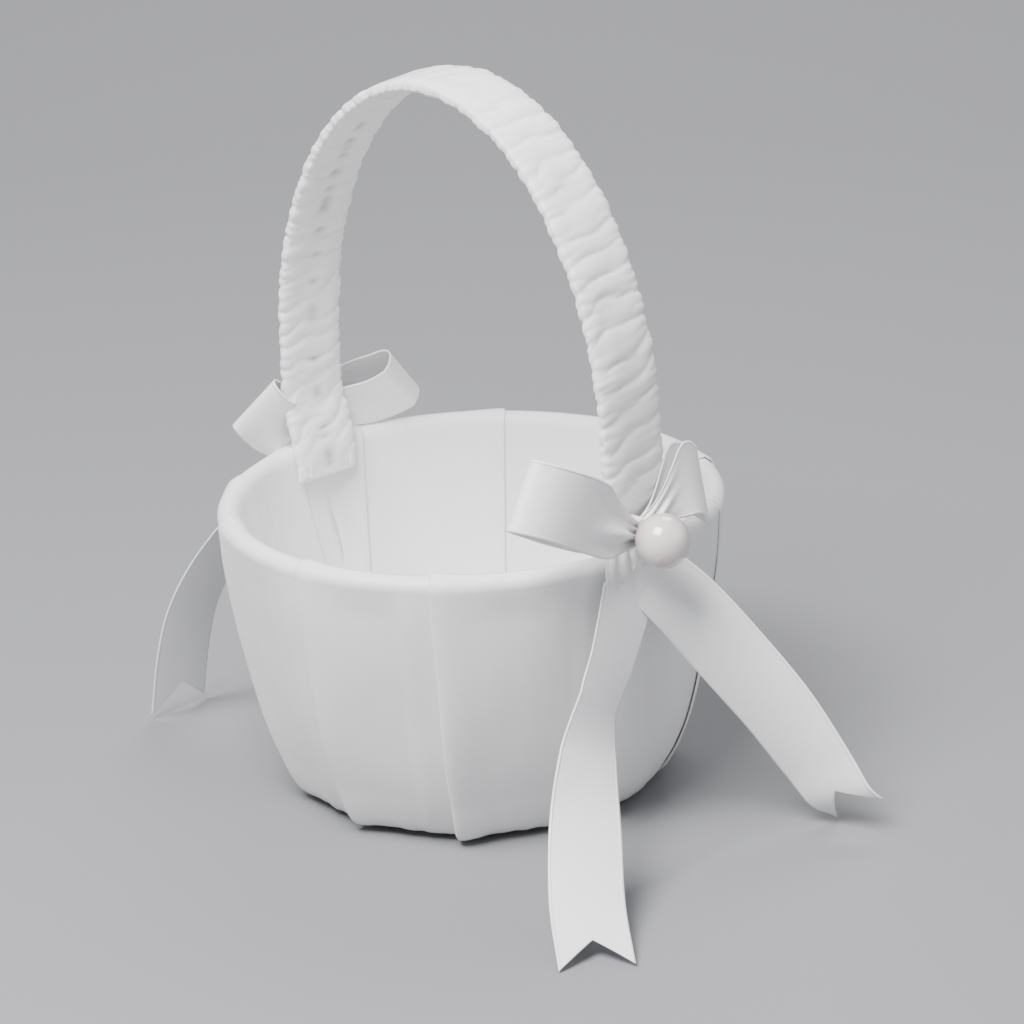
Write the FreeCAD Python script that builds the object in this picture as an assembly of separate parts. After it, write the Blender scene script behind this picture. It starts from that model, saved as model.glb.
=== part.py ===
import FreeCAD, Part
import math
import os

V = FreeCAD.Vector
os.makedirs("parts", exist_ok=True)

# ---------------------------------------------------------------- bowl
RIM_RADIUS = 76.0          # outside of the finished rim
BOWL_HEIGHT = 91.5         # floor to the top of the rim
FOOT_RADIUS = 47.0         # where the rounded bottom edge meets the resting face
# wall outside as shares of (rim radius - foot radius) and of the height
WALL_SHAPE = [(-0.30, -0.035), (0.0, 0.0), (0.20, 0.035), (0.36, 0.105), (0.475, 0.18), (0.60, 0.29),
              (0.72, 0.43), (0.83, 0.59), (0.925, 0.77), (0.985, 0.92), (1.0, 1.0)]
PROFILE_STEPS = 30
SATIN = 0.5                # one ply of the satin cover with its lining
PLY_GAP = 0.1              # air between neighbouring layers
WADDING = 1.5
FORM = 1.5                 # moulded bowl wall
DISC_THICK = 1.0           # underside disc, the resting face
DISC_MARGIN = 2.0          # underside disc inside the foot circle
BOARD_MARGIN = 1.0         # board inside the liner, all round
BOARD = 1.4                # card board lying on the bowl's floor
BOARD_COVER = 0.4

# ---------------------------------------------------------------- handle
LEG_BOW = 4.8              # each leg bows out this far beyond its foot
SPRING_RISE = 30.5         # the arch starts curving this far above the rim
HANDLE_RISE = 129.5        # rim to the middle of the strip at the crown
STRIP_WIDTH = 20.5
STRIP_THICK = 2.0
SLEEVE_WALL = 0.8
FOOT_DROP = 9.0            # how far each foot reaches below the rim
FOOT_OUT_HEIGHT = 20.0     # above the rim the leg has bowed out to full span
TACK_RADIUS = 0.35
TACK_LENGTH = 3.0
TACK_DROP = 3.8            # tacks below the rim

# ---------------------------------------------------------------- bows
RIBBON_WIDTH = 22.0
RIBBON_THICK = 0.4
GATHER_WIDTH = 7.5         # ribbon pinched at a bow's middle
GATHER_BLOCK = 3.0
BOW_LIFT = 6.2             # bow middle above the rim
BOW_OUT = 0.0              # bow middle outside the rim's outside
LOOP_LAYER = 1.0           # half distance of the two loop layers at the middle
LOOP_FULL = 9.0            # largest distance of a loop's front layer from its middle plane
LOOP_START = 0.9           # a loop's layers end this far from the middle
LOOP_SWELL = 18.0          # a loop reaches the ribbon's full width this far out
# a loop's side view, front layer out and back layer home: shares of its length and of LOOP_FULL
LOOP_SHAPE = [(0.08, 0.16), (0.22, 0.40), (0.60, 0.80), (0.90, 0.55), (1.0, 0.05),
              (0.90, -0.30), (0.70, -0.30), (0.45, -0.12), (0.25, -0.11), (0.08, -0.11)]
KNOT_GAP = 0.3             # tail ribbon behind the loops
TIE_FIT = 0.6
TIE_WALL = 0.6
TIE_LENGTH = 2.0
PEARL_RADIUS = 8.2
PEARL_GAP = 0.3
THREAD_RADIUS = 0.5
THREAD_FIT = 0.1
THREAD_REACH = 8.8         # from the back of the pearl into the handle's sleeve
NOTCH_DEPTH = 10.0         # fishtail cut
TAIL_GATHER = 11.0         # tail width where it leaves the knot
TAIL_GAP = 1.0             # between neighbouring tails and from the knot
TAIL_OUT = 2.2             # tails start this far outside the rim
TAIL_DOWN = 5.0            # straight length below the knot
HINGE_DROP = 4.0           # tails start this far below the rim

# one entry per bow: side of the handle, sideways shift, loops and tails
# a loop is (heading along Y, lean along X, rise, length)
# a tail is (side, points along it as share of the rim radius and height, edge turn at the end)
BOWS = {
    "front": {"side": 1, "shift": -4.0,
              "loops": [(-0.87, 0.03, 0.49, 52.0, 0.0), (0.93, 0.06, 0.34, 31.0, 0.0)],
              "tails": {"left": ([(1.075, -0.27, 0.72), (1.12, -0.40, 0.60), (1.18, -0.52, 0.46),
                                  (1.29, -0.66, 0.29), (1.48, -0.85, 0.12), (1.71, -1.03, 0.010)],
                                 [(0.67, 0.74, 0.0)]),
                        "right": ([(1.10, 0.09, 0.78), (1.20, 0.20, 0.61), (1.32, 0.33, 0.42),
                                   (1.43, 0.44, 0.235), (1.507, 0.505, 0.125), (1.553, 0.574, 0.062)],
                                  [(0.31, 0.71, 0.63), (0.64, 0.52, 0.60), (0.93, 0.20, 0.28)])}},
    "rear": {"side": -1, "shift": 2.0,
             "loops": [(-0.89, 0.10, 0.45, 27.0, 0.0), (0.93, 0.05, 0.33, 38.0, 9.0)],
             "tails": {"left": ([(-1.14, -0.22, 0.75), (-1.25, -0.31, 0.60), (-1.34, -0.38, 0.43),
                                 (-1.41, -0.40, 0.25), (-1.49, -0.39, 0.014)],
                                [(0.0, 1.0, 0.0)]),
                       "right": ([(-1.12, 0.25, 0.74), (-1.22, 0.42, 0.55), (-1.31, 0.57, 0.34),
                                  (-1.40, 0.70, 0.15), (-1.50, 0.82, 0.016)],
                                 [(0.62, 0.78, 0.0)])}},
}

COVER_FLOOR = DISC_THICK + PLY_GAP
FORM_FLOOR = COVER_FLOOR + SATIN + PLY_GAP
LINER_FLOOR = FORM_FLOOR + FORM + PLY_GAP
BOARD_FLOOR = LINER_FLOOR + SATIN + PLY_GAP
FORM_DEPTH = SATIN + PLY_GAP + WADDING + PLY_GAP
RIM_DEPTH = SATIN + PLY_GAP + WADDING + PLY_GAP + FORM + PLY_GAP + SATIN
BEAD = RIM_DEPTH / 2
WALL_TOP = BOWL_HEIGHT - BEAD
STRAP_THICK = STRIP_THICK + 2 * (SLEEVE_WALL + PLY_GAP)
STRAP_WIDTH = STRIP_WIDTH + 2 * (SLEEVE_WALL + PLY_GAP)
# the flat strap stands off the round wall by the wall's sagitta across its width
SPRING_HEIGHT = BOWL_HEIGHT + SPRING_RISE
ARCH_TOP = BOWL_HEIGHT + HANDLE_RISE
FOOT_X = math.sqrt((0.975 * RIM_RADIUS - RIM_DEPTH) ** 2 - (STRAP_WIDTH / 2) ** 2) - STRAP_THICK / 2 - 0.3
SPAN = FOOT_X + LEG_BOW


def save(name, shape):
    shape.exportStep("parts/" + name + ".step")


def spline(points):
    curve = Part.BSplineCurve()
    curve.interpolate(points)
    return curve.toShape()


def profile(depth, floor, top):
    """Wall profile in the XZ plane, moved inwards by depth, between two heights."""
    reach = RIM_RADIUS - FOOT_RADIUS
    curve = Part.BSplineCurve()
    curve.interpolate([V(FOOT_RADIUS + reach * share, 0, BOWL_HEIGHT * height) for share, height in WALL_SHAPE])
    moved = []
    for step in range(PROFILE_STEPS + 1):
        param = curve.FirstParameter + (curve.LastParameter - curve.FirstParameter) * step / PROFILE_STEPS
        tangent = curve.tangent(param)[0]
        moved.append(curve.value(param) + V(-tangent.z, 0, tangent.x) * depth)
    points = []
    for low, high in zip(moved[:-1], moved[1:]):
        if low.z <= floor < high.z:
            points.append(low + (high - low) * ((floor - low.z) / (high.z - low.z)))
        elif floor + 0.8 < low.z < top - 4.0 and points:
            points.append(low)
    points.append(V(RIM_RADIUS - depth, 0, top))
    return points


def radius_at(height, depth):
    return profile(depth, height, WALL_TOP)[0].x


def layer(outer_depth, inner_depth, floor_out, floor_in):
    """Revolved wall and floor between two profiles, open at the top."""
    outer = profile(outer_depth, floor_out, WALL_TOP)
    inner = profile(inner_depth, floor_in, WALL_TOP)
    axis_low = V(0, 0, floor_out)
    axis_high = V(0, 0, floor_in)
    edges = [Part.makeLine(axis_low, outer[0]), spline(outer), Part.makeLine(outer[-1], inner[-1]),
             spline(inner), Part.makeLine(inner[0], axis_high), Part.makeLine(axis_high, axis_low)]
    face = Part.Face(Part.Wire(Part.__sortEdges__(edges)))
    return face.revolve(V(0, 0, 0), V(0, 0, 1), 360)


def rim_bead(radius):
    """Upper half of a round bead that runs along the rim."""
    ring = Part.makeTorus(RIM_RADIUS - BEAD, radius, V(0, 0, WALL_TOP))
    return ring.common(Part.makeCylinder(2 * RIM_RADIUS, 2 * BEAD, V(0, 0, WALL_TOP)))


def bowl_form():
    return layer(FORM_DEPTH, FORM_DEPTH + FORM, FORM_FLOOR, FORM_FLOOR + FORM)


def outer_wadding():
    """Thin sponge sleeve round the wall, open below."""
    body = layer(SATIN + PLY_GAP, SATIN + PLY_GAP + WADDING, FORM_FLOOR, FORM_FLOOR + FORM)
    hole = radius_at(FORM_FLOOR + FORM, SATIN + PLY_GAP + WADDING) + 0.3
    return body.cut(Part.makeCylinder(hole, FORM_FLOOR + FORM + 0.3))


def satin_cover():
    """One satin sleeve: outside wall, over the rim bead, down the inside and across the floor."""
    outside = layer(0, SATIN, COVER_FLOOR, COVER_FLOOR + SATIN)
    inside = layer(RIM_DEPTH - SATIN, RIM_DEPTH, LINER_FLOOR, LINER_FLOOR + SATIN)
    bead = rim_bead(BEAD).cut(rim_bead(BEAD - SATIN))
    return outside.fuse([inside, bead]).removeSplitter()


def underside_disc():
    return Part.makeCylinder(FOOT_RADIUS - DISC_MARGIN, DISC_THICK)


def board_radius():
    return radius_at(BOARD_FLOOR, RIM_DEPTH) - BOARD_MARGIN


def floor_board():
    base = V(0, 0, BOARD_FLOOR + BOARD_COVER + PLY_GAP)
    return Part.makeCylinder(board_radius() - BOARD_COVER - PLY_GAP, BOARD, base)


def floor_board_cover():
    full = BOARD + 2 * (BOARD_COVER + PLY_GAP)
    body = Part.makeCylinder(board_radius(), full, V(0, 0, BOARD_FLOOR))
    hollow = Part.makeCylinder(board_radius() - BOARD_COVER, full - 2 * BOARD_COVER,
                               V(0, 0, BOARD_FLOOR + BOARD_COVER))
    return body.cut(hollow)


def handle_points():
    """Middle line of the handle strip from the front foot over the arch to the rear foot."""
    foot = BOWL_HEIGHT - FOOT_DROP
    half = [V(FOOT_X, 0, foot), V(FOOT_X, 0, foot + FOOT_DROP / 2), V(FOOT_X + 0.4, 0, BOWL_HEIGHT),
            V((FOOT_X + 2 * SPAN) / 3 - 0.2, 0, BOWL_HEIGHT + FOOT_OUT_HEIGHT / 2),
            V(SPAN, 0, BOWL_HEIGHT + FOOT_OUT_HEIGHT)]
    arch = []
    for step in range(1, 16):
        turn = math.pi * step / 16
        arch.append(V(SPAN * math.cos(turn), 0, SPRING_HEIGHT + (ARCH_TOP - SPRING_HEIGHT) * math.sin(turn)))
    other = [V(-p.x, 0, p.z) for p in reversed(half)]
    return half + arch + other


def bent_strip(points, side, thick, width, shorten=0.0, stations=96):
    """Flat strip bent along a plane curve; side is its width direction."""
    curve = Part.BSplineCurve()
    curve.interpolate(points)
    length = curve.length()
    left = []
    right = []
    for step in range(stations + 1):
        param = curve.parameterAtDistance(shorten + (length - 2 * shorten) * step / stations)
        point = curve.value(param)
        normal = curve.tangent(param)[0].cross(side)
        left.append(point + normal * thick / 2)
        right.append(point - normal * thick / 2)
    edges = [spline(left), Part.makeLine(left[-1], right[-1]), spline(right), Part.makeLine(right[0], left[0])]
    face = Part.Face(Part.Wire(Part.__sortEdges__(edges)))
    face.translate(side * (-width / 2))
    return face.extrude(side * width)


def strap(thick, width, shorten=0.0):
    return bent_strip(handle_points(), V(0, 1, 0), thick, width, shorten)


def handle_core():
    return strap(STRIP_THICK, STRIP_WIDTH, SLEEVE_WALL + PLY_GAP)


def handle_sleeve():
    tube = strap(STRAP_THICK, STRAP_WIDTH)
    return tube.cut(strap(STRIP_THICK + 2 * PLY_GAP, STRIP_WIDTH + 2 * PLY_GAP, SLEEVE_WALL))


def foot_stitches(side):
    """Two thread tacks near the strap's edges, each sewn through the foot into the bowl wall."""
    tacks = []
    face = FOOT_X - STRAP_THICK / 2
    depth = RIM_RADIUS - SATIN - PLY_GAP - 1.0 - face
    for edge in (-1, 1):
        for row in (0, 1):
            start = V(side * (face - TACK_RADIUS), edge * (STRAP_WIDTH / 2 - 3.0),
                      BOWL_HEIGHT - TACK_DROP - row * TACK_LENGTH)
            tacks.append(Part.makeCylinder(TACK_RADIUS, depth, start, V(side, 0, 0)))
        bar = V(side * (face - TACK_RADIUS), edge * (STRAP_WIDTH / 2 - 3.0), BOWL_HEIGHT - TACK_DROP - TACK_LENGTH)
        tacks.append(Part.makeCylinder(TACK_RADIUS, TACK_LENGTH, bar, V(0, 0, 1)))
    body = tacks[0].fuse(tacks[1:3])
    other = tacks[3].fuse(tacks[4:])
    return Part.makeCompound([body.removeSplitter(), other.removeSplitter()])


def between(values, share):
    """Value at a share of the way along an evenly spaced list."""
    place = share * (len(values) - 1)
    low = min(int(place), len(values) - 2)
    return values[low] * (low + 1 - place) + values[low + 1] * (place - low)


def ribbon(points, across, widths, thick):
    """Thin ribbon through points; across lists its width directions from start to end."""
    curve = Part.BSplineCurve()
    curve.interpolate(points)
    length = curve.length()
    stations = 2 * len(points) + 4
    wires = []
    for step in range(stations + 1):
        share = step / stations
        param = curve.parameterAtDistance(length * share)
        point = curve.value(param)
        tangent = curve.tangent(param)[0]
        side = between(across, share)
        side = (side - tangent * side.dot(tangent)).normalize()
        normal = tangent.cross(side)
        width = between(widths, share)
        corners = [point + side * (a * width / 2) + normal * (b * thick / 2)
                   for a, b in ((-1, -1), (1, -1), (1, 1), (-1, 1))]
        wires.append(Part.makePolygon(corners + corners[:1]))
    return Part.makeLoft(wires, True, False), curve


def bow_middle(bow):
    """Middle of a bow, just outside the handle's leg and above the rim."""
    return V(bow["side"] * (RIM_RADIUS + BOW_OUT), bow["shift"], BOWL_HEIGHT + BOW_LIFT)


def thread_hole(bow):
    start = bow_middle(bow) - V(bow["side"] * 10, 0, 0)
    return Part.makeCylinder(THREAD_RADIUS + THREAD_FIT, 20, start, V(bow["side"], 0, 0))


def bow_loop(bow, heading, lean, rise, length, curl):
    """One loop, tapered to the gathered middle; its end curls back over the bowl."""
    middle = bow_middle(bow)
    along = V(lean * bow["side"], heading, rise).normalize()
    depth = V(bow["side"], 0, 0)
    depth = (depth - along * depth.dot(along)).normalize()
    side = along.cross(depth)
    path = [middle + along * (length * a) + depth * (LOOP_FULL * d - curl * a ** 3) for a, d in LOOP_SHAPE]
    start = middle + along * LOOP_START
    path = [start + depth * LOOP_LAYER] + path + [start - depth * LOOP_LAYER]
    strip = bent_strip(path, side, RIBBON_THICK, RIBBON_WIDTH, 0.0, 40)
    narrow = side * (GATHER_WIDTH / 2)
    full = side * (RIBBON_WIDTH / 2 + 0.1)
    swell = middle + along * LOOP_SWELL
    tip = middle + along * (2 * length)
    outline = Part.makePolygon([middle - narrow, swell - full, tip - full, tip + full, swell + full,
                                middle + narrow, middle - narrow])
    taper = Part.Face(outline)
    taper.translate(depth * (-2 * LOOP_FULL))
    return strip.common(taper.extrude(depth * (4 * LOOP_FULL)))


def bow_loops(bow):
    """Two loops of one ribbon, with the gathered cloth packed between their layers in the middle."""
    size = V(2 * (LOOP_LAYER - PLY_GAP) - RIBBON_THICK, GATHER_BLOCK, GATHER_WIDTH)
    gather = Part.makeBox(size.x, size.y, size.z, bow_middle(bow) - size / 2).cut(thread_hole(bow))
    return Part.makeCompound([gather] + [bow_loop(bow, *values) for values in bow["loops"]])


def tail_knot(bow):
    """The tail ribbon's gathered middle: behind the loops, out to both sides and down over the rim."""
    middle = bow_middle(bow)
    side = bow["side"]
    back = middle.x - side * (LOOP_LAYER + RIBBON_THICK + KNOT_GAP)
    halves = []
    for hand in (-1, 1):
        step = hand * (TAIL_GATHER + TAIL_GAP) / 2
        points = [V(back, middle.y - 0.5 * hand, middle.z),
                  V(back, middle.y + 2.2 * hand, middle.z - 0.5),
                  V(back + 0.2 * side, middle.y + 0.9 * step, BOWL_HEIGHT + 1.7),
                  V(side * (RIM_RADIUS + 1.2), middle.y + step, BOWL_HEIGHT - 0.9),
                  V(side * (RIM_RADIUS + TAIL_OUT), middle.y + step, BOWL_HEIGHT - HINGE_DROP + TAIL_GAP)]
        widths = [0.8 * GATHER_WIDTH, 0.8 * GATHER_WIDTH, GATHER_WIDTH, TAIL_GATHER, TAIL_GATHER]
        level = V(0, hand, 0)
        across = [V(0, 0, 1), V(0, 0.6 * hand, 0.8), level, level, level]
        halves.append(ribbon(points, across, widths, RIBBON_THICK)[0])
    return halves[0].fuse(halves[1]).cut(thread_hole(bow)).removeSplitter()


def bow_tie(bow):
    """Thread wound round the gathered middle of loops and tails."""
    middle = bow_middle(bow)
    side = bow["side"]
    front = middle.x + side * (LOOP_LAYER + RIBBON_THICK / 2 + TIE_FIT)
    back = middle.x - side * (LOOP_LAYER + 1.5 * RIBBON_THICK + KNOT_GAP + TIE_FIT)
    low = min(front, back)
    depth = abs(front - back)
    height = GATHER_WIDTH + 2 * TIE_FIT
    corner = V(low, middle.y - TIE_LENGTH / 2, middle.z - height / 2)
    outer = Part.makeBox(depth + 2 * TIE_WALL, TIE_LENGTH, height + 2 * TIE_WALL, corner - V(TIE_WALL, 0, TIE_WALL))
    inner = Part.makeBox(depth, TIE_LENGTH, height, corner)
    edges = [e for e in outer.Edges if abs(e.Vertexes[0].Y - e.Vertexes[1].Y) > 1]
    return outer.makeFillet(0.7, edges).cut(inner).cut(thread_hole(bow))


def pearl_middle(bow):
    middle = bow_middle(bow)
    stand = LOOP_LAYER + RIBBON_THICK / 2 + TIE_FIT + TIE_WALL + PEARL_GAP + PEARL_RADIUS
    return middle + V(bow["side"] * stand, 0, 0)


def pearl(bow):
    centre = pearl_middle(bow)
    ball = Part.makeSphere(PEARL_RADIUS, centre)
    hole = Part.makeCylinder(THREAD_RADIUS + THREAD_FIT, PEARL_RADIUS + 2,
                             centre - V(bow["side"] * (PEARL_RADIUS + 1), 0, 0), V(bow["side"], 0, 0))
    return ball.cut(hole)


def pearl_thread(bow):
    centre = pearl_middle(bow)
    length = PEARL_RADIUS + THREAD_REACH
    return Part.makeCylinder(THREAD_RADIUS, length, centre - V(bow["side"] * length, 0, 0), V(bow["side"], 0, 0))


def tail(bow, hand):
    """Free end of the tail ribbon with a fishtail cut."""
    shares, edges = bow["tails"][hand]
    side = bow["side"]
    step = (TAIL_GATHER + TAIL_GAP) / 2 * (-1 if hand == "left" else 1)
    root = V(side * (RIM_RADIUS + TAIL_OUT), bow["shift"] + step, BOWL_HEIGHT - HINGE_DROP)
    points = [root, root - V(0, 0, TAIL_DOWN / 2), root - V(0, 0, TAIL_DOWN)]
    points += [V(a * RIM_RADIUS, b * RIM_RADIUS, c * BOWL_HEIGHT) for a, b, c in shares]
    widths = [TAIL_GATHER, TAIL_GATHER, 0.8 * RIBBON_WIDTH] + [RIBBON_WIDTH] * 6
    body, curve = ribbon(points, [V(0, 1, 0)] + [V(*e) for e in edges], widths, RIBBON_THICK)
    end = curve.value(curve.LastParameter)
    along = curve.tangent(curve.LastParameter)[0]
    across = V(*edges[-1])
    across = (across - along * across.dot(along)).normalize()
    up = along.cross(across)
    reach = across * (RIBBON_WIDTH / 2 + 0.5)
    corners = [end + reach + along * 4, end + reach, end - along * NOTCH_DEPTH, end - reach,
               end - reach + along * 4]
    wedge = Part.Face(Part.makePolygon([c - up * 5 for c in corners + corners[:1]])).extrude(up * 10)
    return body.cut(wedge)


NODES = {
    "bowl_form": bowl_form,
    "outer_wadding": outer_wadding,
    "satin_cover": satin_cover,
    "underside_disc": underside_disc,
    "floor_board": floor_board,
    "floor_board_cover": floor_board_cover,
    "handle_core": handle_core,
    "handle_sleeve": handle_sleeve,
}

for node, build in NODES.items():
    save(node, build())
for place, bow in BOWS.items():
    save(place + "_foot_stitches", foot_stitches(bow["side"]))
    save(place + "_bow_loops", bow_loops(bow))
    save(place + "_tail_knot", tail_knot(bow))
    save(place + "_bow_tie", bow_tie(bow))
    save(place + "_pearl", pearl(bow))
    save(place + "_pearl_thread", pearl_thread(bow))
    for hand in ("left", "right"):
        save(place + "_tail_" + hand, tail(bow, hand))
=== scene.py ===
import bpy
import math
from mathutils import Matrix, Vector, noise


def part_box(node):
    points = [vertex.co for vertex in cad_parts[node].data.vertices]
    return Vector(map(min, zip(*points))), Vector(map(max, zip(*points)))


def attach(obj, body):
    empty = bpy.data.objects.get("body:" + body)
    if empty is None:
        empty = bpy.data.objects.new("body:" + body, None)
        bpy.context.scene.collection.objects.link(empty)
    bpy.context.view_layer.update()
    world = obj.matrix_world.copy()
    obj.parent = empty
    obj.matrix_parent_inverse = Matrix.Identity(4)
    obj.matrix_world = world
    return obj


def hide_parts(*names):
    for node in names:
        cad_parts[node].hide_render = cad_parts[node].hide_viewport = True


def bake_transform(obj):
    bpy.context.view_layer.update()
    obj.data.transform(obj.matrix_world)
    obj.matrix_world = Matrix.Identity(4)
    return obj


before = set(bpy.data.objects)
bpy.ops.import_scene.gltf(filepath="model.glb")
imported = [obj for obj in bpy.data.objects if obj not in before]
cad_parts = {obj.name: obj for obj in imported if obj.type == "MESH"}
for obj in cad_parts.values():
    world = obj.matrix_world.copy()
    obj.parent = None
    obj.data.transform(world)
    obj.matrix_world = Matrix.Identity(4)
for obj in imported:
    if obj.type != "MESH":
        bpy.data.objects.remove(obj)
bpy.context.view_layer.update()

# ---------------------------------------------------------------- studio
# A photographer's table: one pale sweep, a big soft box above and to the left of the basket, a wide
# weak fill from the right, and a camera on a long lens that looks slightly down on the rim.
mm = 0.001
table_height = -0.0004
camera_turn = math.radians(48.0)
camera_rise = math.radians(20.8)
camera_roll = math.radians(3.0)
camera_distance = 1.5
aim = Vector((0.0, 0.0, 0.060))
sweep_start = 0.8
sweep_curve = 0.9

bpy.ops.object.select_all(action="DESELECT")
bpy.ops.mesh.primitive_plane_add(size=6.0, location=(0.0, 0.0, 0.0))
table = bpy.context.active_object
table.name = "table"
bpy.ops.object.mode_set(mode="EDIT")
bpy.ops.mesh.subdivide(number_cuts=11)
bpy.ops.object.mode_set(mode="OBJECT")
sweep_way = Vector((-math.sin(camera_turn), math.cos(camera_turn), 0.0))
for corner in table.data.vertices:
    behind = max(0.0, corner.co.dot(sweep_way) - sweep_start)
    corner.co.z = table_height + sweep_curve * behind * behind
for side in table.data.polygons:
    side.use_smooth = True

paper = bpy.data.materials.new("sweep_paper")
paper.use_nodes = True
paper_shader = paper.node_tree.nodes["Principled BSDF"]
paper_shader.inputs["Base Color"].default_value = (0.24, 0.24, 0.25, 1.0)
paper_shader.inputs["Roughness"].default_value = 0.9
table.data.materials.append(paper)

camera_data = bpy.data.cameras.new("camera")
camera_data.sensor_width = 36.0
camera_data.lens = 171.9
camera_data.shift_x = 0.0356
camera_data.shift_y = 0.0762
camera_data.clip_start = 0.05
camera_data.clip_end = 20.0
camera = bpy.data.objects.new("camera", camera_data)
bpy.context.collection.objects.link(camera)
back_way = Vector((math.sin(camera_turn) * math.cos(camera_rise),
                   -math.cos(camera_turn) * math.cos(camera_rise), math.sin(camera_rise)))
look = (-back_way).to_track_quat("-Z", "Y").to_matrix().to_4x4()
camera.matrix_world = (Matrix.Translation(aim + back_way * camera_distance) @ look
                       @ Matrix.Rotation(-camera_roll, 4, "Z"))
bpy.context.scene.camera = camera


def soft_box(name, turn, rise, distance, size, power):
    """Area light aimed at the basket; turn is measured from the camera, to the right."""
    light = bpy.data.lights.new(name, "AREA")
    light.shape = "RECTANGLE"
    light.size = size[0]
    light.size_y = size[1]
    light.energy = power
    lamp = bpy.data.objects.new(name, light)
    bpy.context.collection.objects.link(lamp)
    way = camera_turn + math.radians(turn)
    high = math.radians(rise)
    place = Vector((math.sin(way) * math.cos(high), -math.cos(way) * math.cos(high),
                    math.sin(high)))
    lamp.matrix_world = (Matrix.Translation(Vector((0.0, 0.0, 0.1)) + place * distance)
                         @ (-place).to_track_quat("-Z", "Y").to_matrix().to_4x4())
    return lamp


soft_box("key_soft_box", -34.0, 58.0, 1.3, (0.7, 0.7), 46.0)
soft_box("fill_soft_box", 75.0, 25.0, 1.8, (1.2, 1.2), 5.0)
soft_box("back_soft_box", 165.0, 50.0, 1.5, (0.9, 0.6), 12.0)

world = bpy.data.worlds.new("studio")
world.use_nodes = True
world.node_tree.nodes["Background"].inputs["Color"].default_value = (0.92, 0.94, 1.0, 1.0)
world.node_tree.nodes["Background"].inputs["Strength"].default_value = 0.46
bpy.context.scene.world = world


# ---------------------------------------------------------------- bowl form and wadding
# The bowl is a thin moulded shell that carries everything. A sleeve of sponge sits round its wall
# to soften the satin. Both are closed in by the cover and show only if the basket is cut open.
def finish_material(name, colour, rough):
    """New material with a plain shader; returns the material, its nodes, links and shader."""
    made = bpy.data.materials.new(name)
    made.use_nodes = True
    shader = made.node_tree.nodes["Principled BSDF"]
    shader.inputs["Base Color"].default_value = (*colour, 1.0)
    shader.inputs["Roughness"].default_value = rough
    return made, made.node_tree.nodes, made.node_tree.links, shader


def mottled(name, colour, rough, grain, depth, variety=0.04):
    """Matt stuff with fine grain in its surface and a little unevenness in its colour."""
    made, nodes, links, shader = finish_material(name, colour, rough)
    place = nodes.new("ShaderNodeTexCoord")
    fine = nodes.new("ShaderNodeTexNoise")
    fine.inputs["Scale"].default_value = grain
    fine.inputs["Detail"].default_value = 4.0
    links.new(place.outputs["Object"], fine.inputs["Vector"])
    relief = nodes.new("ShaderNodeBump")
    relief.inputs["Strength"].default_value = 0.5
    relief.inputs["Distance"].default_value = depth
    links.new(fine.outputs["Fac"], relief.inputs["Height"])
    links.new(relief.outputs["Normal"], shader.inputs["Normal"])
    broad = nodes.new("ShaderNodeTexNoise")
    broad.inputs["Scale"].default_value = grain / 25.0
    links.new(place.outputs["Object"], broad.inputs["Vector"])
    tone = nodes.new("ShaderNodeValToRGB")
    tone.color_ramp.elements[0].position = 0.3
    tone.color_ramp.elements[1].position = 0.7
    tone.color_ramp.elements[0].color = (*[c * (1.0 - variety) for c in colour], 1.0)
    tone.color_ramp.elements[1].color = (*colour, 1.0)
    links.new(broad.outputs["Fac"], tone.inputs["Fac"])
    links.new(tone.outputs["Color"], shader.inputs["Base Color"])
    return made


def refinish(node, material):
    """Gives a CAD node its real finish."""
    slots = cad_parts[node].material_slots
    for each in slots:
        each.link = "OBJECT"
        each.material = material


moulded_plastic = mottled("moulded_bowl_plastic", (0.86, 0.86, 0.83), 0.5, 1500.0, 0.00008)
sponge = mottled("sponge", (0.86, 0.84, 0.77), 0.95, 2600.0, 0.0005, 0.10)
refinish("bowl_form", moulded_plastic)
refinish("outer_wadding", sponge)

# ---------------------------------------------------------------- underside disc and floor board
# The bottom is closed by a disc of pressed felt glued over the gathered satin. Inside, a grey card
# wrapped in satin lies loose on the bowl's floor, a little domed where the cloth is drawn over it.
felt = mottled("pressed_felt", (0.82, 0.82, 0.79), 0.95, 1900.0, 0.0006, 0.08)
grey_card = mottled("grey_card", (0.60, 0.57, 0.52), 0.9, 900.0, 0.0002, 0.08)
refinish("underside_disc", felt)
refinish("floor_board", grey_card)


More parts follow.
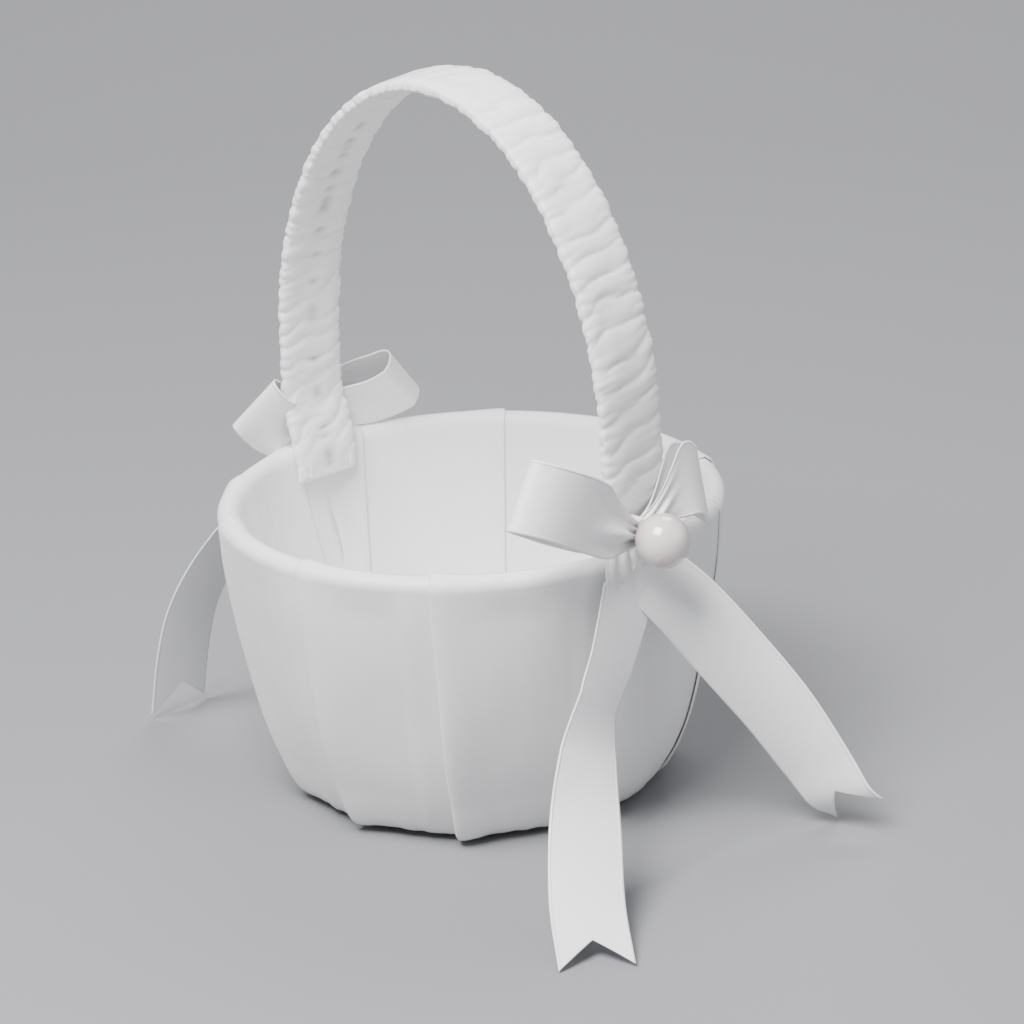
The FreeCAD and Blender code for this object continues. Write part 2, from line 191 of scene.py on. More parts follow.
def satin(name, colour, rough, weave, depth, sheen=0.25):
    """Satin cloth. Fine floats run along the cloth's length, with faint slubs and a soft sheen."""
    made, nodes, links, shader = finish_material(name, colour, rough)
    shader.inputs["Sheen Weight"].default_value = sheen
    shader.inputs["Sheen Roughness"].default_value = 0.35
    shader.inputs["Specular IOR Level"].default_value = 0.45
    shader.inputs["Anisotropic"].default_value = 0.35
    cloth = nodes.new("ShaderNodeUVMap")
    cloth.uv_map = "cloth"
    threads = nodes.new("ShaderNodeMapping")
    threads.inputs["Scale"].default_value = (weave, weave * 0.12, weave)
    links.new(cloth.outputs["UV"], threads.inputs["Vector"])
    floats = nodes.new("ShaderNodeTexNoise")
    floats.inputs["Scale"].default_value = 1.0
    floats.inputs["Detail"].default_value = 3.0
    floats.inputs["Roughness"].default_value = 0.6
    links.new(threads.outputs["Vector"], floats.inputs["Vector"])
    relief = nodes.new("ShaderNodeBump")
    relief.inputs["Strength"].default_value = 0.35
    relief.inputs["Distance"].default_value = depth
    links.new(floats.outputs["Fac"], relief.inputs["Height"])
    links.new(relief.outputs["Normal"], shader.inputs["Normal"])
    slubs = nodes.new("ShaderNodeMapping")
    slubs.inputs["Scale"].default_value = (weave * 0.06, weave * 0.012, 1.0)
    links.new(cloth.outputs["UV"], slubs.inputs["Vector"])
    uneven = nodes.new("ShaderNodeTexNoise")
    uneven.inputs["Scale"].default_value = 1.0
    uneven.inputs["Detail"].default_value = 2.0
    links.new(slubs.outputs["Vector"], uneven.inputs["Vector"])
    tone = nodes.new("ShaderNodeValToRGB")
    tone.color_ramp.elements[0].position = 0.35
    tone.color_ramp.elements[1].position = 0.65
    tone.color_ramp.elements[0].color = (*[c * 0.985 for c in colour], 1.0)
    tone.color_ramp.elements[1].color = (*colour, 1.0)
    links.new(uneven.outputs["Fac"], tone.inputs["Fac"])
    links.new(tone.outputs["Color"], shader.inputs["Base Color"])
    shine = nodes.new("ShaderNodeMapRange")
    shine.inputs["To Min"].default_value = rough - 0.04
    shine.inputs["To Max"].default_value = rough + 0.05
    links.new(floats.outputs["Fac"], shine.inputs["Value"])
    links.new(shine.outputs["Result"], shader.inputs["Roughness"])
    return made


cover_satin = satin("cover_satin", (0.88, 0.88, 0.875), 0.46, 5200.0, 0.00006)


def cloth_grid(name, rows, around, material, cloth_size):
    """Mesh of rows of points, joined into a sheet, or into a tube if around. cloth_size is the
    cloth's own (width, length) in metres, which its threads follow."""
    count = len(rows)
    wide = len(rows[0])
    points = [p for row in rows for p in row]
    quads = []
    wraps = wide if around else wide - 1
    for r in range(count - 1):
        for c in range(wraps):
            d = (c + 1) % wide
            quads.append((r * wide + c, r * wide + d, (r + 1) * wide + d, (r + 1) * wide + c))
    mesh = bpy.data.meshes.new(name)
    mesh.from_pydata([tuple(p) for p in points], [], quads)
    laid = mesh.uv_layers.new(name="cloth")
    for index, quad in enumerate(quads):
        r, c = divmod(index, wraps)
        spots = ((c, r), (c + 1, r), (c + 1, r + 1), (c, r + 1))
        for turn, (u, v) in enumerate(spots):
            laid.data[index * 4 + turn].uv = (u / wraps * cloth_size[0],
                                              v / (count - 1) * cloth_size[1])
    for side in mesh.polygons:
        side.use_smooth = True
    mesh.materials.append(material)
    piece = bpy.data.objects.new(name, mesh)
    bpy.context.collection.objects.link(piece)
    return piece


def thicken(piece, thickness, offset=-1.0):
    """Gives a sheet its thickness; offset -1 keeps the drawn side outside."""
    wall = piece.modifiers.new("thickness", "SOLIDIFY")
    wall.thickness = thickness
    wall.offset = offset
    wall.use_even_offset = False
    wall.use_quality_normals = True
    bpy.ops.object.select_all(action="DESELECT")
    bpy.context.view_layer.objects.active = piece
    piece.select_set(True)
    bpy.ops.object.modifier_apply(modifier=wall.name)
    piece.select_set(False)


board_low, board_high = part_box("floor_board_cover")
board_radius = board_high.x
board_rows = 26
board_columns = 120
board_dome = 0.0004
board_round = 0.0012
board_middle = 0.0003
board_cloth_thickness = 0.0003
# shares of the way from the middle of the top, over the edge, and back in under the board
top_share = 0.72
edge_share = 0.86
edge_span = 0.14
rows = []
for step in range(board_rows):
    share = step / (board_rows - 1)
    if share < top_share:
        radius = board_radius * (share / top_share) * 0.985
        height = board_high.z + board_dome * math.cos(share / top_share * math.pi / 2)
    elif share < edge_share:
        turn = (share - top_share) / edge_span * math.pi
        radius = board_radius - board_round + board_round * math.sin(turn)
        height = ((board_low.z + board_high.z) / 2
                  + (board_high.z - board_low.z) / 2 * math.cos(turn))
    else:
        radius = board_radius * (1.0 - 0.35 * (share - edge_share) / edge_span) - board_round
        height = board_low.z + 0.0001
    row = []
    for c in range(board_columns):
        way = 2 * math.pi * c / board_columns
        lift = 0.00025 * noise.noise(Vector((math.cos(way) * 3, math.sin(way) * 3, share * 5)))
        drawn = 0.0002 * math.sin(way * 23) * max(0.0, share - 0.5)
        row.append(Vector((max(radius, board_middle) * math.cos(way),
                           max(radius, board_middle) * math.sin(way), height + lift + drawn)))
    rows.append(row)
board_cover = cloth_grid("floor_board_satin", rows, True, cover_satin, (0.27, 0.06))
thicken(board_cover, board_cloth_thickness)
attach(board_cover, "basket")
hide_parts("floor_board_cover")

# ---------------------------------------------------------------- satin cover
# One sleeve of satin, laid in deep knife pleats that all fold the same way. It is gathered under
# the base, goes up the outside, rolls over the rim, and goes down the inside as the lining.
rim = 76.0
foot = 47.0
deep = 91.5
stand_off = 1.0
thick_wall = 4.3
cover_thickness = 0.00028
outside_low = 1.12
lining_low = 3.9
outer_wall = [(foot, 0.0), (foot + 5.8, 3.2), (foot + 10.4, 9.6), (foot + 13.8, 16.5),
              (foot + 17.4, 26.5), (foot + 20.9, 39.3), (foot + 24.1, 54.0), (foot + 26.8, 70.5),
              (rim - 0.44, 84.2), (rim, 89.3)]


def curve_through(points, count):
    """Evenly spaced points on a smooth line through the given ones, ends included."""
    line = [Vector(p) for p in points]
    line = [line[0] * 2 - line[1]] + line + [line[-1] * 2 - line[-2]]
    dense = []
    for a, b, c, d in zip(line, line[1:], line[2:], line[3:]):
        for step in range(24):
            t = step / 24
            dense.append(0.5 * (2 * b + (c - a) * t + (2 * a - 5 * b + 4 * c - d) * t * t
                                + (3 * b - 3 * c + d - a) * t ** 3))
    dense.append(line[-2].copy())
    run = [0.0]
    for a, b in zip(dense, dense[1:]):
        run.append(run[-1] + (b - a).length)
    out = []
    at = 0
    for step in range(count):
        want = run[-1] * step / (count - 1)
        while at < len(run) - 2 and run[at + 1] < want:
            at += 1
        span = run[at + 1] - run[at]
        out.append(dense[at].lerp(dense[at + 1], (want - run[at]) / span if span else 0.0))
    return out


def smooth(value, low, high):
    t = min(1.0, max(0.0, (value - low) / (high - low)))
    return t * t * (3 - 2 * t)


profile_rows = 118
wall = curve_through([(r, z, 0.0) for r, z in outer_wall], 60)
facing = []
for a, b in zip(wall, wall[1:]):
    ahead = (b - a).normalized()
    facing.append(Vector((ahead.y, -ahead.x, 0.0)))
facing.append(facing[-1])
outline = [Vector((foot - 5.5, 1.30, 0.0)), Vector((foot - 1.0, 1.30, 0.0))]
outline += [Vector((p + n * 0.25)) for p, n in zip(wall[4::5], facing[4::5])]
roll = thick_wall / 2
outline += [Vector((rim - roll + (roll + 0.25) * math.cos(t),
                    89.3 + (roll + 0.25) * math.sin(t), 0.0))
            for t in (0.0, 0.8, 1.57, 2.35, 3.14)]
inner = [p - n * (thick_wall + 0.25) for p, n in zip(wall, facing)]
outline += [Vector(p) for p in inner[::-1][5::5] if p.y > 4.6]
outline += [Vector((foot - 0.5, 4.25, 0.0)), Vector((foot - 3.5, 4.05, 0.0))]
profile = curve_through(outline, profile_rows)
rim_row = max(range(profile_rows), key=lambda k: profile[k].y)
# each pleat: where its fold stands, degrees from the front foot; how it drifts towards the base
# outside and towards the floor inside; and how proud it stands
pleats = [(32.5, 1.5, 3.0, 0.5), (62.0, -2.0, 2.0, 1.2), (96.0, 2.5, -2.0, 1.1),
          (128.5, -1.5, 1.0, 1.0), (166.0, 2.0, 9.0, 1.1), (187.0, -3.0, -9.0, 0.8),
          (210.0, 3.0, -3.0, 1.1), (238.0, 2.5, 2.0, 1.1), (275.5, -2.5, 3.0, 1.15),
          (308.0, 0.8, 2.0, 1.5), (349.0, 3.0, -3.0, 0.5)]
# a fold's section: distance along the wall from the fold's edge, height off the wall, both in mm
fold_section = [(-9.0, 0.00), (-6.5, 0.00), (-4.6, 0.00), (-2.8, 0.00), (-1.2, 0.00),
                (0.6, 0.00), (2.4, 0.00), (3.3, 0.16), (3.5, 0.40), (2.9, 0.56), (1.4, 0.60),
                (0.3, 0.62), (-0.15, 0.84), (-0.15, 1.12), (0.25, 1.38), (0.9, 1.50), (1.9, 1.52),
                (3.4, 1.40), (5.6, 1.12), (8.6, 0.72), (12.0, 0.36)]
panel_steps = 13
rows = []
for k, spot in enumerate(profile):
    ahead = profile[min(k + 1, profile_rows - 1)] - profile[max(k - 1, 0)]
    out_r, out_z = ahead.y / ahead.length, -ahead.x / ahead.length
    inside = k > rim_row
    fall = max(0.0, deep - spot.y) / deep
    near_rim = smooth(abs(spot.y - deep), 0.0, 14.0)
    # pleats stand proudest low on the wall, lie flat on the rim and flatter inside
    if inside:
        proud = 0.34 + 0.16 * near_rim
    else:
        proud = 0.45 + 0.95 * smooth(fall, 0.03, 0.70) + 0.5 * smooth(fall, 0.80, 0.93)
    if spot.y < 6.0:
        proud *= smooth(spot.y, 1.0, 6.0) * 0.8 + 0.2
    edges = []
    for fold, drift_out, drift_in, size in pleats:
        bend = (drift_in if inside else drift_out) * fall ** 1.3
        sway = 0.5 * noise.noise(Vector((fold, spot.y / 22.0, 7.0 if inside else 0.0)))
        edges.append((fold + bend + sway, size))
    row = []
    for index, (fold, size) in enumerate(edges):
        full_turn = 360.0 if index == len(edges) - 1 else 0.0
        following = edges[(index + 1) % len(edges)][0] + full_turn
        arc = 180.0 / math.pi / spot.x
        spots = [(fold + a * arc, h * size * proud) for a, h in fold_section]
        start = fold + fold_section[-1][0] * arc
        finish = following + fold_section[0][0] * arc
        tail_height = fold_section[-1][1] * size * proud
        for step in range(1, panel_steps):
            share = step / panel_steps
            spots.append((start + (finish - start) * share, tail_height * (1 - share) ** 1.5))
        for turn, height in spots:
            way = math.radians(turn)
            share = (turn - fold) / (following - fold)
            # between two folds the cloth is drawn a little flat, and hollow before the next fold
            hollow = -0.95 * math.sin(math.pi * min(1.0, max(0.0, share))) ** 2
            hollow -= 0.40 * math.exp(-((share - 0.84) / 0.10) ** 2)
            hollow *= (1.0 if not inside else 0.4) * near_rim * smooth(spot.y, 2.0, 18.0)
            waver = noise.noise(Vector((math.cos(way) * 2.2, math.sin(way) * 2.2, spot.y / 30.0)))
            waver += 0.5 * noise.noise(Vector((math.cos(way) * 6.0, math.sin(way) * 6.0,
                                               spot.y / 60.0 + 4.0)))
            waver *= 0.60 * near_rim * (0.5 if inside else 1.0)
            gather = 0.0
            if not inside and spot.y < 16.0:
                uneven_turn = 2.0 * noise.noise(Vector((turn / 9.0, 0.0, 3.0)))
                uneven_pull = 0.4 + 0.6 * noise.noise(Vector((turn / 14.0, 5.0, 0.0)))
                gather = 0.35 * math.sin(way * 46.0 + uneven_turn)
                gather *= (1.0 - smooth(spot.y, 2.0, 16.0)) * uneven_pull
            push = max(0.0, height + hollow + waver + gather + stand_off)
            radius = spot.x + out_r * push
            level = max(lining_low if inside else outside_low, spot.y + out_z * push)
            row.append(Vector((radius * math.cos(way), radius * math.sin(way), level)) * mm)
    rows.append(row)
cover = cloth_grid("satin_cover_pleated", rows, True, cover_satin, (0.62, 0.235))
thicken(cover, cover_thickness)
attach(cover, "basket")
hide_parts("satin_cover")

# ---------------------------------------------------------------- handle
# A flat plastic strip bent to an arch. A long tube of satin is pushed up over it until it ruches
# into slanting puffs; the tube's seam wanders down the inner face. Each foot is sewn inside the rim.
strip_plastic = mottled("extruded_strip_plastic", (0.86, 0.86, 0.84), 0.45, 700.0, 0.00005)
refinish("handle_core", strip_plastic)
sleeve_satin = satin("sleeve_satin", (0.89, 0.89, 0.885), 0.44, 5200.0, 0.00006, 0.3)
# painted shade: the seam's crease, where the two edges are drawn together, is painted darker
nodes, links = sleeve_satin.node_tree.nodes, sleeve_satin.node_tree.links
shader = nodes["Principled BSDF"]
crease_shade_mask = nodes.new("ShaderNodeAttribute")
crease_shade_mask.attribute_name = "seam"
painted_crease_shade = nodes.new("ShaderNodeMix")
painted_crease_shade.data_type = "RGBA"
painted_crease_shade.inputs["B"].default_value = (0.42, 0.42, 0.43, 1.0)
links.new(shader.inputs["Base Color"].links[0].from_socket, painted_crease_shade.inputs["A"])
links.new(crease_shade_mask.outputs["Fac"], painted_crease_shade.inputs["Factor"])
links.new(painted_crease_shade.outputs["Result"], shader.inputs["Base Color"])

span = 71.5  # half the arch, to the strip's middle
spring = 122.0  # where the legs start to curve over
crown = 221.0
foot_x = 66.85
foot_z = deep - 9.0
half_width = 11.2
half_depth = 1.9
sleeve_thickness = 0.00022
half = [(foot_x, foot_z), (foot_x, foot_z + 4.5), (foot_x + 0.4, deep),
        ((foot_x + 2 * span) / 3 - 0.2, deep + 10.0), (span, deep + 20.0)]
arch = []
for step in range(1, 16):
    turn = math.pi * step / 16
    arch.append((span * math.cos(turn), spring + (crown - spring) * math.sin(turn)))
line = half + arch + [(-x, z) for x, z in reversed(half)]
along_rows = 620
handle_line = curve_through([(x, 0.0, z) for x, z in line], along_rows)
handle_length = sum((b - a).length for a, b in zip(handle_line, handle_line[1:]))
around_points = 64
section = []
for c in range(around_points):
    turn = 2 * math.pi * c / around_points
    a, b = math.sin(turn), math.cos(turn)
    section.append((half_width * math.copysign(abs(a) ** 0.55, a),
                    half_depth * math.copysign(abs(b) ** 0.62, b)))


def ruche(run, across, face):
    """Height of the puffs in mm at a distance along the strap; face is 1 outside, -1 inside."""
    ends = math.exp(-(min(run, handle_length - run) / 26.0) ** 2)
    lean = (0.34 * math.cos(math.pi * run / handle_length) * (1.0 + 1.6 * ends)) * across
    wander = 4.6 * noise.noise(Vector((run / 19.0, across / 13.0, 3.0 * face)))
    wander += 1.6 * noise.noise(Vector((run / 6.0, across / 7.0, 6.0 * face)))
    phase = (run - lean + wander) / 7.6
    big = abs(math.sin(math.pi * phase)) ** 0.42
    cell = noise.noise(Vector((math.floor(phase) * 3.7, across / 9.0, 11.0 + face)))
    small_wander = 2.4 * noise.noise(Vector((run / 8.0, across / 6.0, 9.0 * face)))
    small = abs(math.sin(math.pi * (run - 0.6 * lean + small_wander) / 3.6)) ** 0.6
    edge = min(1.0, abs(across) / half_width) ** 3
    return (0.85 + 0.75 * cell) * big + (0.06 + 0.50 * edge) * small - 0.30


rows = []
crease_shade_marks = []
for k, spot in enumerate(handle_line):
    ahead = (handle_line[min(k + 1, along_rows - 1)] - handle_line[max(k - 1, 0)]).normalized()
    outward = Vector((ahead.z, 0.0, -ahead.x))
    run = handle_length * k / (along_rows - 1)
    hem = min(1.0, run / 2.0, (handle_length - run) / 2.0)
    close = 0.35 + 0.65 * math.sin(math.pi / 2 * hem)
    calm = smooth(min(run, handle_length - run), 0.0, 16.0) * 0.75 + 0.25
    seam = 2.6 * noise.noise(Vector((run / 13.0, 0.3, 0.0)))
    seam += 1.2 * noise.noise(Vector((run / 4.5, 5.0, 0.0)))
    row = []
    for across, depth in section:
        face = 1.0 if depth > 0 else -1.0
        puff = ruche(run, across, face) * calm
        groove = 0.0
        mark = 0.0
        if face < 0:
            # painted shade along the seam's crease, kept per point for the sleeve's colour
            mark = 0.75 * math.exp(-((across - seam) / 0.22) ** 2)
            groove = -0.85 * math.exp(-((across - seam) / 0.40) ** 2)
            groove += 0.25 * math.exp(-((across - seam - 1.1) / 0.6) ** 2)
        edge = min(1.0, abs(across) / half_width) ** 4
        wide = across + math.copysign(1.0, across) * puff * edge * 0.75
        thick = depth * close + face * (puff * (0.85 - 0.45 * edge) + groove) * close
        row.append((spot + outward * thick + Vector((0.0, wide, 0.0))) * mm)
        crease_shade_marks.append(mark)
    rows.append(row)
sleeve = cloth_grid("handle_sleeve_ruched", rows, True, sleeve_satin, (0.054, 0.42))
crease_shade_values = sleeve.data.attributes.new("seam", "FLOAT", "POINT")
for index, mark in enumerate(crease_shade_marks):
    crease_shade_values.data[index].value = mark
thicken(sleeve, sleeve_thickness)
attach(sleeve, "basket")
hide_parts("handle_sleeve")

# ---------------------------------------------------------------- foot stitches
# Two double tacks of white polyester thread hold each foot of the handle to the wall, inside the
# rim.
sewing_thread = mottled("sewing_thread", (0.88, 0.88, 0.87), 0.7, 4200.0, 0.0002, 0.05)
refinish("front_foot_stitches", sewing_thread)
refinish("rear_foot_stitches", sewing_thread)

# ---------------------------------------------------------------- bows
# Each bow is a length of double-faced satin ribbon folded to two loops and pinched in the middle,
# bound with thread over a second length that hangs as two tails, and finished with a pearl.
ribbon_width = 22.0
ribbon_thickness = 0.00028
ribbon_columns = 29
loop_rows = 170
loop_neck = 7.5
ribbon_satin = satin("ribbon_satin", (0.90, 0.90, 0.905), 0.36, 6000.0, 0.00005, 0.3)
# both edges of a ribbon have a tight woven selvedge, half a millimetre wide and a little proud; the
# same band is painted brighter, a painted highlight
nodes, links = ribbon_satin.node_tree.nodes, ribbon_satin.node_tree.links
shader = nodes["Principled BSDF"]
across = nodes.new("ShaderNodeSeparateXYZ")
links.new(nodes["UV Map"].outputs["UV"], across.inputs["Vector"])
off_middle = nodes.new("ShaderNodeMath")
off_middle.operation = "SUBTRACT"
off_middle.inputs[1].default_value = ribbon_width * mm / 2
links.new(across.outputs["X"], off_middle.inputs[0])
distance_off = nodes.new("ShaderNodeMath")
distance_off.operation = "ABSOLUTE"
links.new(off_middle.outputs["Value"], distance_off.inputs[0])
selvedge_and_highlight_band = nodes.new("ShaderNodeMapRange")
selvedge_and_highlight_band.inputs["From Min"].default_value = 0.0101
selvedge_and_highlight_band.inputs["From Max"].default_value = 0.0104
links.new(distance_off.outputs["Value"], selvedge_and_highlight_band.inputs["Value"])
proud_edge = nodes.new("ShaderNodeBump")
proud_edge.inputs["Strength"].default_value = 0.8
proud_edge.inputs["Distance"].default_value = 0.0003
links.new(selvedge_and_highlight_band.outputs["Result"], proud_edge.inputs["Height"])
links.new(shader.inputs["Normal"].links[0].from_socket, proud_edge.inputs["Normal"])
links.new(proud_edge.outputs["Normal"], shader.inputs["Normal"])
# painted highlight: the selvedge band is painted brighter than the ribbon
painted_edge_highlight = nodes.new("ShaderNodeMix")
painted_edge_highlight.data_type = "RGBA"
painted_edge_highlight.inputs["B"].default_value = (0.97, 0.97, 0.97, 1.0)
links.new(shader.inputs["Base Color"].links[0].from_socket, painted_edge_highlight.inputs["A"])
links.new(selvedge_and_highlight_band.outputs["Result"], painted_edge_highlight.inputs["Factor"])
links.new(painted_edge_highlight.outputs["Result"], shader.inputs["Base Color"])

bow_at = {"front": Vector((76.0, -4.0, deep + 6.2)), "rear": Vector((-76.0, 2.0, deep + 6.2))}


def ribbon_sheet(name, stations, square):
    """Ribbon from stations, each (middle, width way, width, gather, lift), all in mm. Gather is
    the height of the pinched folds, lift a function of the place across, from -1 to 1. If square,
    the width is turned square to the ribbon's run."""
    rows = []
    count = len(stations)
    for k, (spot, side, width, gather, lift) in enumerate(stations):
        ahead = (stations[min(k + 1, count - 1)][0] - stations[max(k - 1, 0)][0]).normalized()
        if square:
            side = side - ahead * side.dot(ahead)
        side = side.normalized()
        face = ahead.cross(side).normalized()
        row = []
        for c in range(ribbon_columns):
            share = 2.0 * c / (ribbon_columns - 1) - 1.0
            rise = gather * math.cos(share * 3.2 * math.pi + 0.6) + lift(share)
            row.append((spot + side * (share * width / 2) + face * rise) * mm)
        rows.append(row)
    length = sum((b[0] - a[0]).length for a, b in zip(stations, stations[1:]))
    return cloth_grid(name, rows, False, ribbon_satin, (ribbon_width * mm, length * mm)), length


# a loop's path: share of the way out, and share of its fullness; outer layer first
loop_shape = [(0.0, 0.14), (0.08, 0.24), (0.22, 0.50), (0.45, 0.86), (0.70, 1.00), (0.88, 0.80),
              (0.985, 0.30), (0.985, -0.25), (0.88, -0.72), (0.66, -0.95), (0.42, -0.72),
              (0.22, -0.36), (0.08, -0.22), (0.0, -0.20)]
# each loop: its end from the bow's middle, the way its width points there, fullness of its outer
# and inner layers, how far its path swings out round the handle, how high it arches, the shares of
# the way at which it starts and finishes opening out, and its dimple
loops = {"front": [((1.0, -46.5, 25.0), (-0.10, 0.58, 0.80), 8.0, 4.6, 0.0, 0.0, (0.0, 0.42), 3.4),
                   ((-2.5, 30.0, 5.0), (-0.30, 0.10, 0.95), 3.6, 1.0, 0.0, 7.5, (0.16, 0.70), 1.2)],
         "rear": [((-1.5, -21.0, 10.5), (0.62, 0.30, 0.72), 5.0, 3.0, 0.0, -4.0, (0.0, 0.45), 0.8),
                  ((12.0, 30.0, 12.0), (0.16, -0.66, 0.73), 5.0, 6.5, -7.0, -2.5, (0.05, 0.90),
                   0.8)]}
for place, at in bow_at.items():
    out = Vector((1.0 if place == "front" else -1.0, 0.0, 0.0))
    for number, loop in enumerate(loops[place]):
        end, wide_way, full_out, full_in, swing, arch, opens, dimple = loop
        end, wide_way = Vector(end), Vector(wide_way).normalized()
        upright = Vector((0.0, 0.0, 1.0 if wide_way.z > 0 else -1.0))
        path = curve_through([(a, d, 0.0) for a, d in loop_shape], loop_rows)
        stations = []
        for mark in path:
            share, full = mark.x, mark.y
            side = upright.lerp(wide_way, smooth(share, opens[0] + 0.10, 0.85)).normalized()
            face = end.cross(side).normalized()
            if face.dot(out) < 0:
                face = -face
            bow_out = math.sin(math.pi * min(1.0, share * 1.15))
            middle = at + end * share - out * (swing * bow_out)
            middle.z += arch * math.sin(math.pi * min(1.0, share) ** (1.0 + 3.0 * opens[0]))
            middle = middle + face * (full * (full_out if full > 0 else full_in))
            width = loop_neck + (ribbon_width - loop_neck) * smooth(share, *opens)
            gather = 0.85 * (1.0 - smooth(share, 0.0, 0.62))
            hollow = dimple * math.exp(-((share - 0.27) / 0.13) ** 2) if full > 0 else 0.0
            puff = 0.45 * hollow
            turned = -1.0 if number == 0 else 1.0
            stations.append((middle, side, width, gather,
                             lambda s, h=hollow, p=puff, t=turned:
                             t * (h * math.exp(-((s + 0.2) / 0.26) ** 2)
                                  - p * math.exp(-((s - 0.35) / 0.3) ** 2))))
        hand = ("left", "right")[number]
        piece, length = ribbon_sheet(f"{place}_bow_loop_{hand}", stations, False)
        thicken(piece, ribbon_thickness, 0.0)
        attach(piece, "basket")
    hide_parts(place + "_bow_loops")

# ---------------------------------------------------------------- tails
# The second ribbon passes behind the loops. Its two free ends come down over the rim, splay out and
# rest on the table, each cut to a fishtail.
hinge_drop = 4.0
tail_start = rim + 2.2
notch = 10.0
notch_run = 30.0
tail_rows = 200
tail_neck = 9.0
# each free end: points on its way down, in rim radii and bowl heights, and its width's ways
tails = {
    ("front", "left"): ([(1.075, -0.27, 0.72), (1.12, -0.40, 0.60), (1.18, -0.52, 0.46),
                         (1.29, -0.66, 0.29), (1.48, -0.85, 0.12), (1.71, -1.03, 0.010)],
                        [(-0.28, 0.96, 0.0), (0.35, 0.93, 0.0), (0.67, 0.74, 0.0)]),
    ("front", "right"): ([(1.10, 0.13, 0.78), (1.20, 0.25, 0.61), (1.32, 0.37, 0.42),
                          (1.43, 0.46, 0.235), (1.507, 0.505, 0.125), (1.553, 0.574, 0.062)],
                         [(0.31, 0.71, 0.63), (0.64, 0.52, 0.60), (0.93, 0.20, 0.28)]),
    ("rear", "left"): ([(-1.14, -0.22, 0.75), (-1.25, -0.31, 0.60), (-1.34, -0.38, 0.43),
                        (-1.41, -0.40, 0.25), (-1.49, -0.39, 0.014)], [(0.0, 1.0, 0.0)]),
    ("rear", "right"): ([(-1.12, 0.25, 0.74), (-1.22, 0.42, 0.55), (-1.31, 0.57, 0.34),
                         (-1.40, 0.70, 0.15), (-1.50, 0.82, 0.016)], [(0.62, 0.78, 0.0)])}
for (place, hand), (marks, ways) in tails.items():
    at = bow_at[place]
    side_x = 1.0 if place == "front" else -1.0
    hand_y = -1.0 if hand == "left" else 1.0
    layer = 0.25 * hand_y
    root = Vector((side_x * tail_start, at.y + hand_y * 6.0, deep - hinge_drop))
    points = [Vector((side_x * (rim - 1.9 + layer), at.y - hand_y * 0.5, at.z + 0.5)),
              Vector((side_x * (rim - 1.6 + layer), at.y + hand_y * 2.5, at.z - 2.0)),
              Vector((side_x * (rim + 0.9 + layer), at.y + hand_y * 5.1, deep + 0.6)),
              root, root - Vector((0.0, 0.0, 5.0))]
    points += [Vector((a * rim, b * rim, c * deep)) for a, b, c in marks]
    line = curve_through(points, tail_rows)
    length = sum((b - a).length for a, b in zip(line, line[1:]))
    ways = [Vector((0.0, 1.0, 0.0))] + [Vector(way) for way in ways]
    stations = []
    for k, spot in enumerate(line):
        run = length * k / (tail_rows - 1)
        hung = max(0.0, run - 12.0) / (length - 12.0) * (len(ways) - 1)
        low = min(int(hung), len(ways) - 2)
        side = ways[low].lerp(ways[low + 1], hung - low)
        side = Vector((0.0, 0.3, 0.9 * hand_y)).lerp(side, smooth(run, 0.0, 10.0))
        width = tail_neck + (ribbon_width - tail_neck) * smooth(run, 0.0, 22.0)
        gather = 0.55 * (1.0 - smooth(run, 2.0, 24.0))
        belly = 0.8 * smooth(run, 20.0, 60.0)
        stations.append((spot, side, width, gather, lambda s, w=belly: w * (0.5 - s * s)))
    piece, length = ribbon_sheet(f"{place}_tail_{hand}_ribbon", stations, True)
    # the fishtail: towards the end, each row is drawn back along the ribbon, most in the middle
    step = length / (tail_rows - 1)
    drawn = int(notch_run / step)
    spots = [v.co.copy() for v in piece.data.vertices]
    for k in range(tail_rows - drawn, tail_rows):
        for c in range(ribbon_columns):
            share = abs(2.0 * c / (ribbon_columns - 1) - 1.0)
            back = k - notch * (1.0 - share) * ((k - (tail_rows - 1 - drawn)) / drawn) / step
            low = int(back)
            high = min(low + 1, tail_rows - 1)
            piece.data.vertices[k * ribbon_columns + c].co = spots[low * ribbon_columns + c].lerp(
                spots[high * ribbon_columns + c], back - low)
    thicken(piece, ribbon_thickness, 0.0)
    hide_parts(*([f"{place}_tail_{hand}", f"{place}_tail_knot"] if hand == "left"
                         else [f"{place}_tail_{hand}"]))
    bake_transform(piece)

# ---------------------------------------------------------------- ties, pearls and their threads
# Thread binds the pinched middle of each bow. Over it sits an imitation pearl, a moulded bead with
# a nacre coating, held by a thread through the bow into the handle.
for place in bow_at:
    refinish(place + "_bow_tie", sewing_thread)
    refinish(place + "_pearl_thread", sewing_thread)

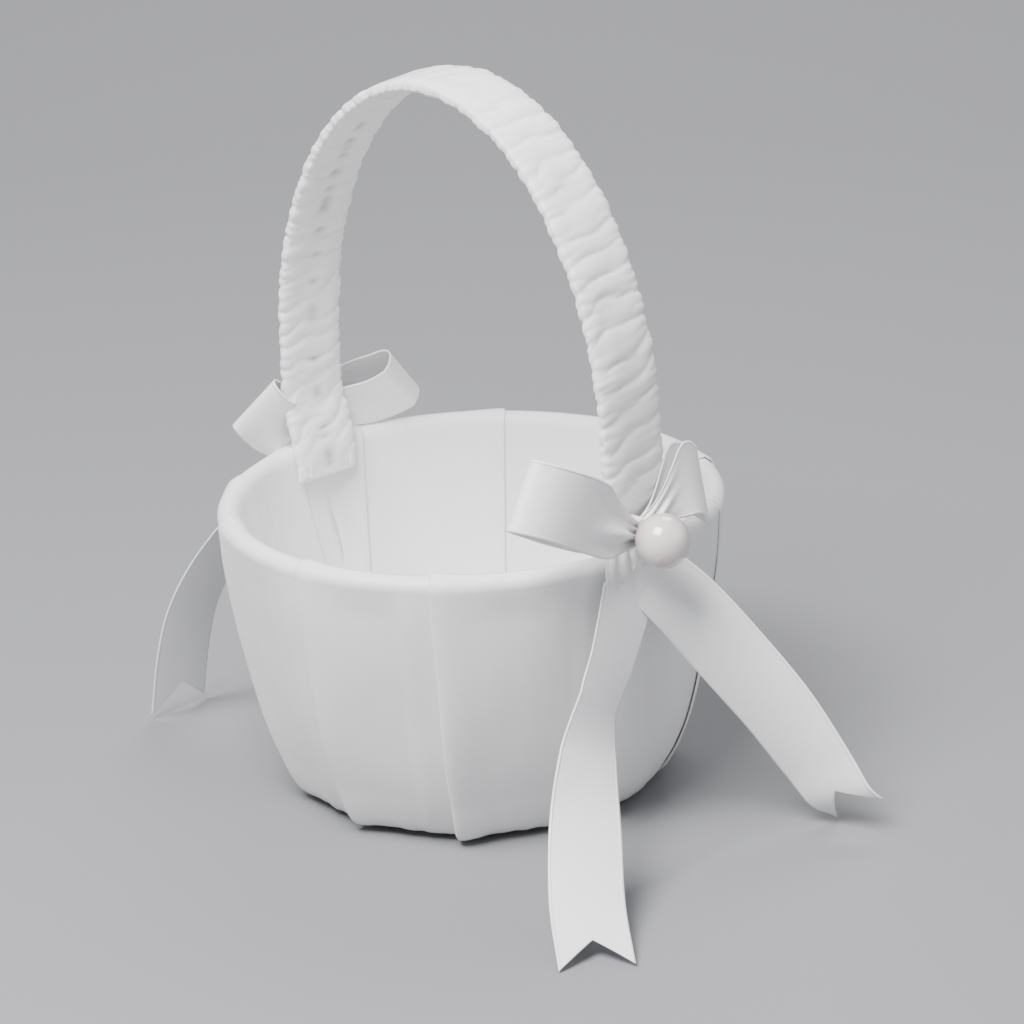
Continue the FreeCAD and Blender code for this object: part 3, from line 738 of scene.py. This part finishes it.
nacre, nodes, links, shader = finish_material("pearl_nacre", (0.80, 0.73, 0.71), 0.18)
shader.inputs["Coat Weight"].default_value = 1.0
shader.inputs["Coat Roughness"].default_value = 0.06
shader.inputs["Subsurface Weight"].default_value = 0.15
shader.inputs["Subsurface Radius"].default_value = (0.002, 0.0016, 0.0014)
shader.inputs["Specular IOR Level"].default_value = 0.6
# painted shade: the bead's colour turns a darker pinkish grey towards its rim, standing for the dark
# surroundings reflected there
facing = nodes.new("ShaderNodeLayerWeight")
facing.inputs["Blend"].default_value = 0.35
painted_rim_shade = nodes.new("ShaderNodeValToRGB")
painted_rim_shade.color_ramp.elements[0].color = (0.78, 0.70, 0.68, 1.0)
painted_rim_shade.color_ramp.elements[1].color = (0.55, 0.47, 0.48, 1.0)
links.new(facing.outputs["Facing"], painted_rim_shade.inputs["Fac"])
links.new(painted_rim_shade.outputs["Color"], shader.inputs["Base Color"])
pearl_place = nodes.new("ShaderNodeTexCoord")
orient = nodes.new("ShaderNodeTexNoise")
orient.inputs["Scale"].default_value = 350.0
orient.inputs["Detail"].default_value = 3.0
links.new(pearl_place.outputs["Object"], orient.inputs["Vector"])
coating = nodes.new("ShaderNodeBump")
coating.inputs["Strength"].default_value = 0.10
coating.inputs["Distance"].default_value = 0.0001
links.new(orient.outputs["Fac"], coating.inputs["Height"])
links.new(coating.outputs["Normal"], shader.inputs["Normal"])

bead_segments = 96
bead_rings = 64
hole_share = 0.10
hole_depth = 0.5
for place in bow_at:
    low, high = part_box(place + "_pearl")
    centre = (low + high) / 2
    radius = (high.z - low.z) / 2
    out = 1.0 if place == "front" else -1.0
    bpy.ops.object.select_all(action="DESELECT")
    bpy.ops.mesh.primitive_uv_sphere_add(segments=bead_segments, ring_count=bead_rings,
                                         radius=radius, location=(0.0, 0.0, 0.0))
    bead = bpy.context.active_object
    bead.name = place + "_pearl_bead"
    bead.data.materials.append(nacre)
    bpy.ops.object.mode_set(mode="EDIT")
    # the thread's hole: the rings round one pole are drawn in along the bead's axis
    for ring in range(int(hole_share / math.pi * bead_rings) + 1):
        off = math.sin(math.pi * ring / bead_rings) / hole_share
        bpy.ops.mesh.select_all(action="DESELECT")
        bpy.ops.object.mode_set(mode="OBJECT")
        for corner in bead.data.vertices:
            place_off = math.hypot(corner.co.x, corner.co.y) / (hole_share * radius)
            corner.select = corner.co.z < 0 and abs(place_off - off) < 0.1
        bpy.ops.object.mode_set(mode="EDIT")
        bpy.ops.transform.translate(value=(0.0, 0.0, hole_depth * radius * (1.0 - off)))
    bpy.ops.mesh.select_all(action="SELECT")
    bpy.ops.transform.rotate(value=-math.pi / 2 * out, orient_axis="Y",
                             center_override=(0.0, 0.0, 0.0))
    bpy.ops.transform.translate(value=centre)
    bpy.ops.mesh.faces_shade_smooth()
    bpy.ops.object.mode_set(mode="OBJECT")
    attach(bead, "basket")
    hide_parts(place + "_pearl")
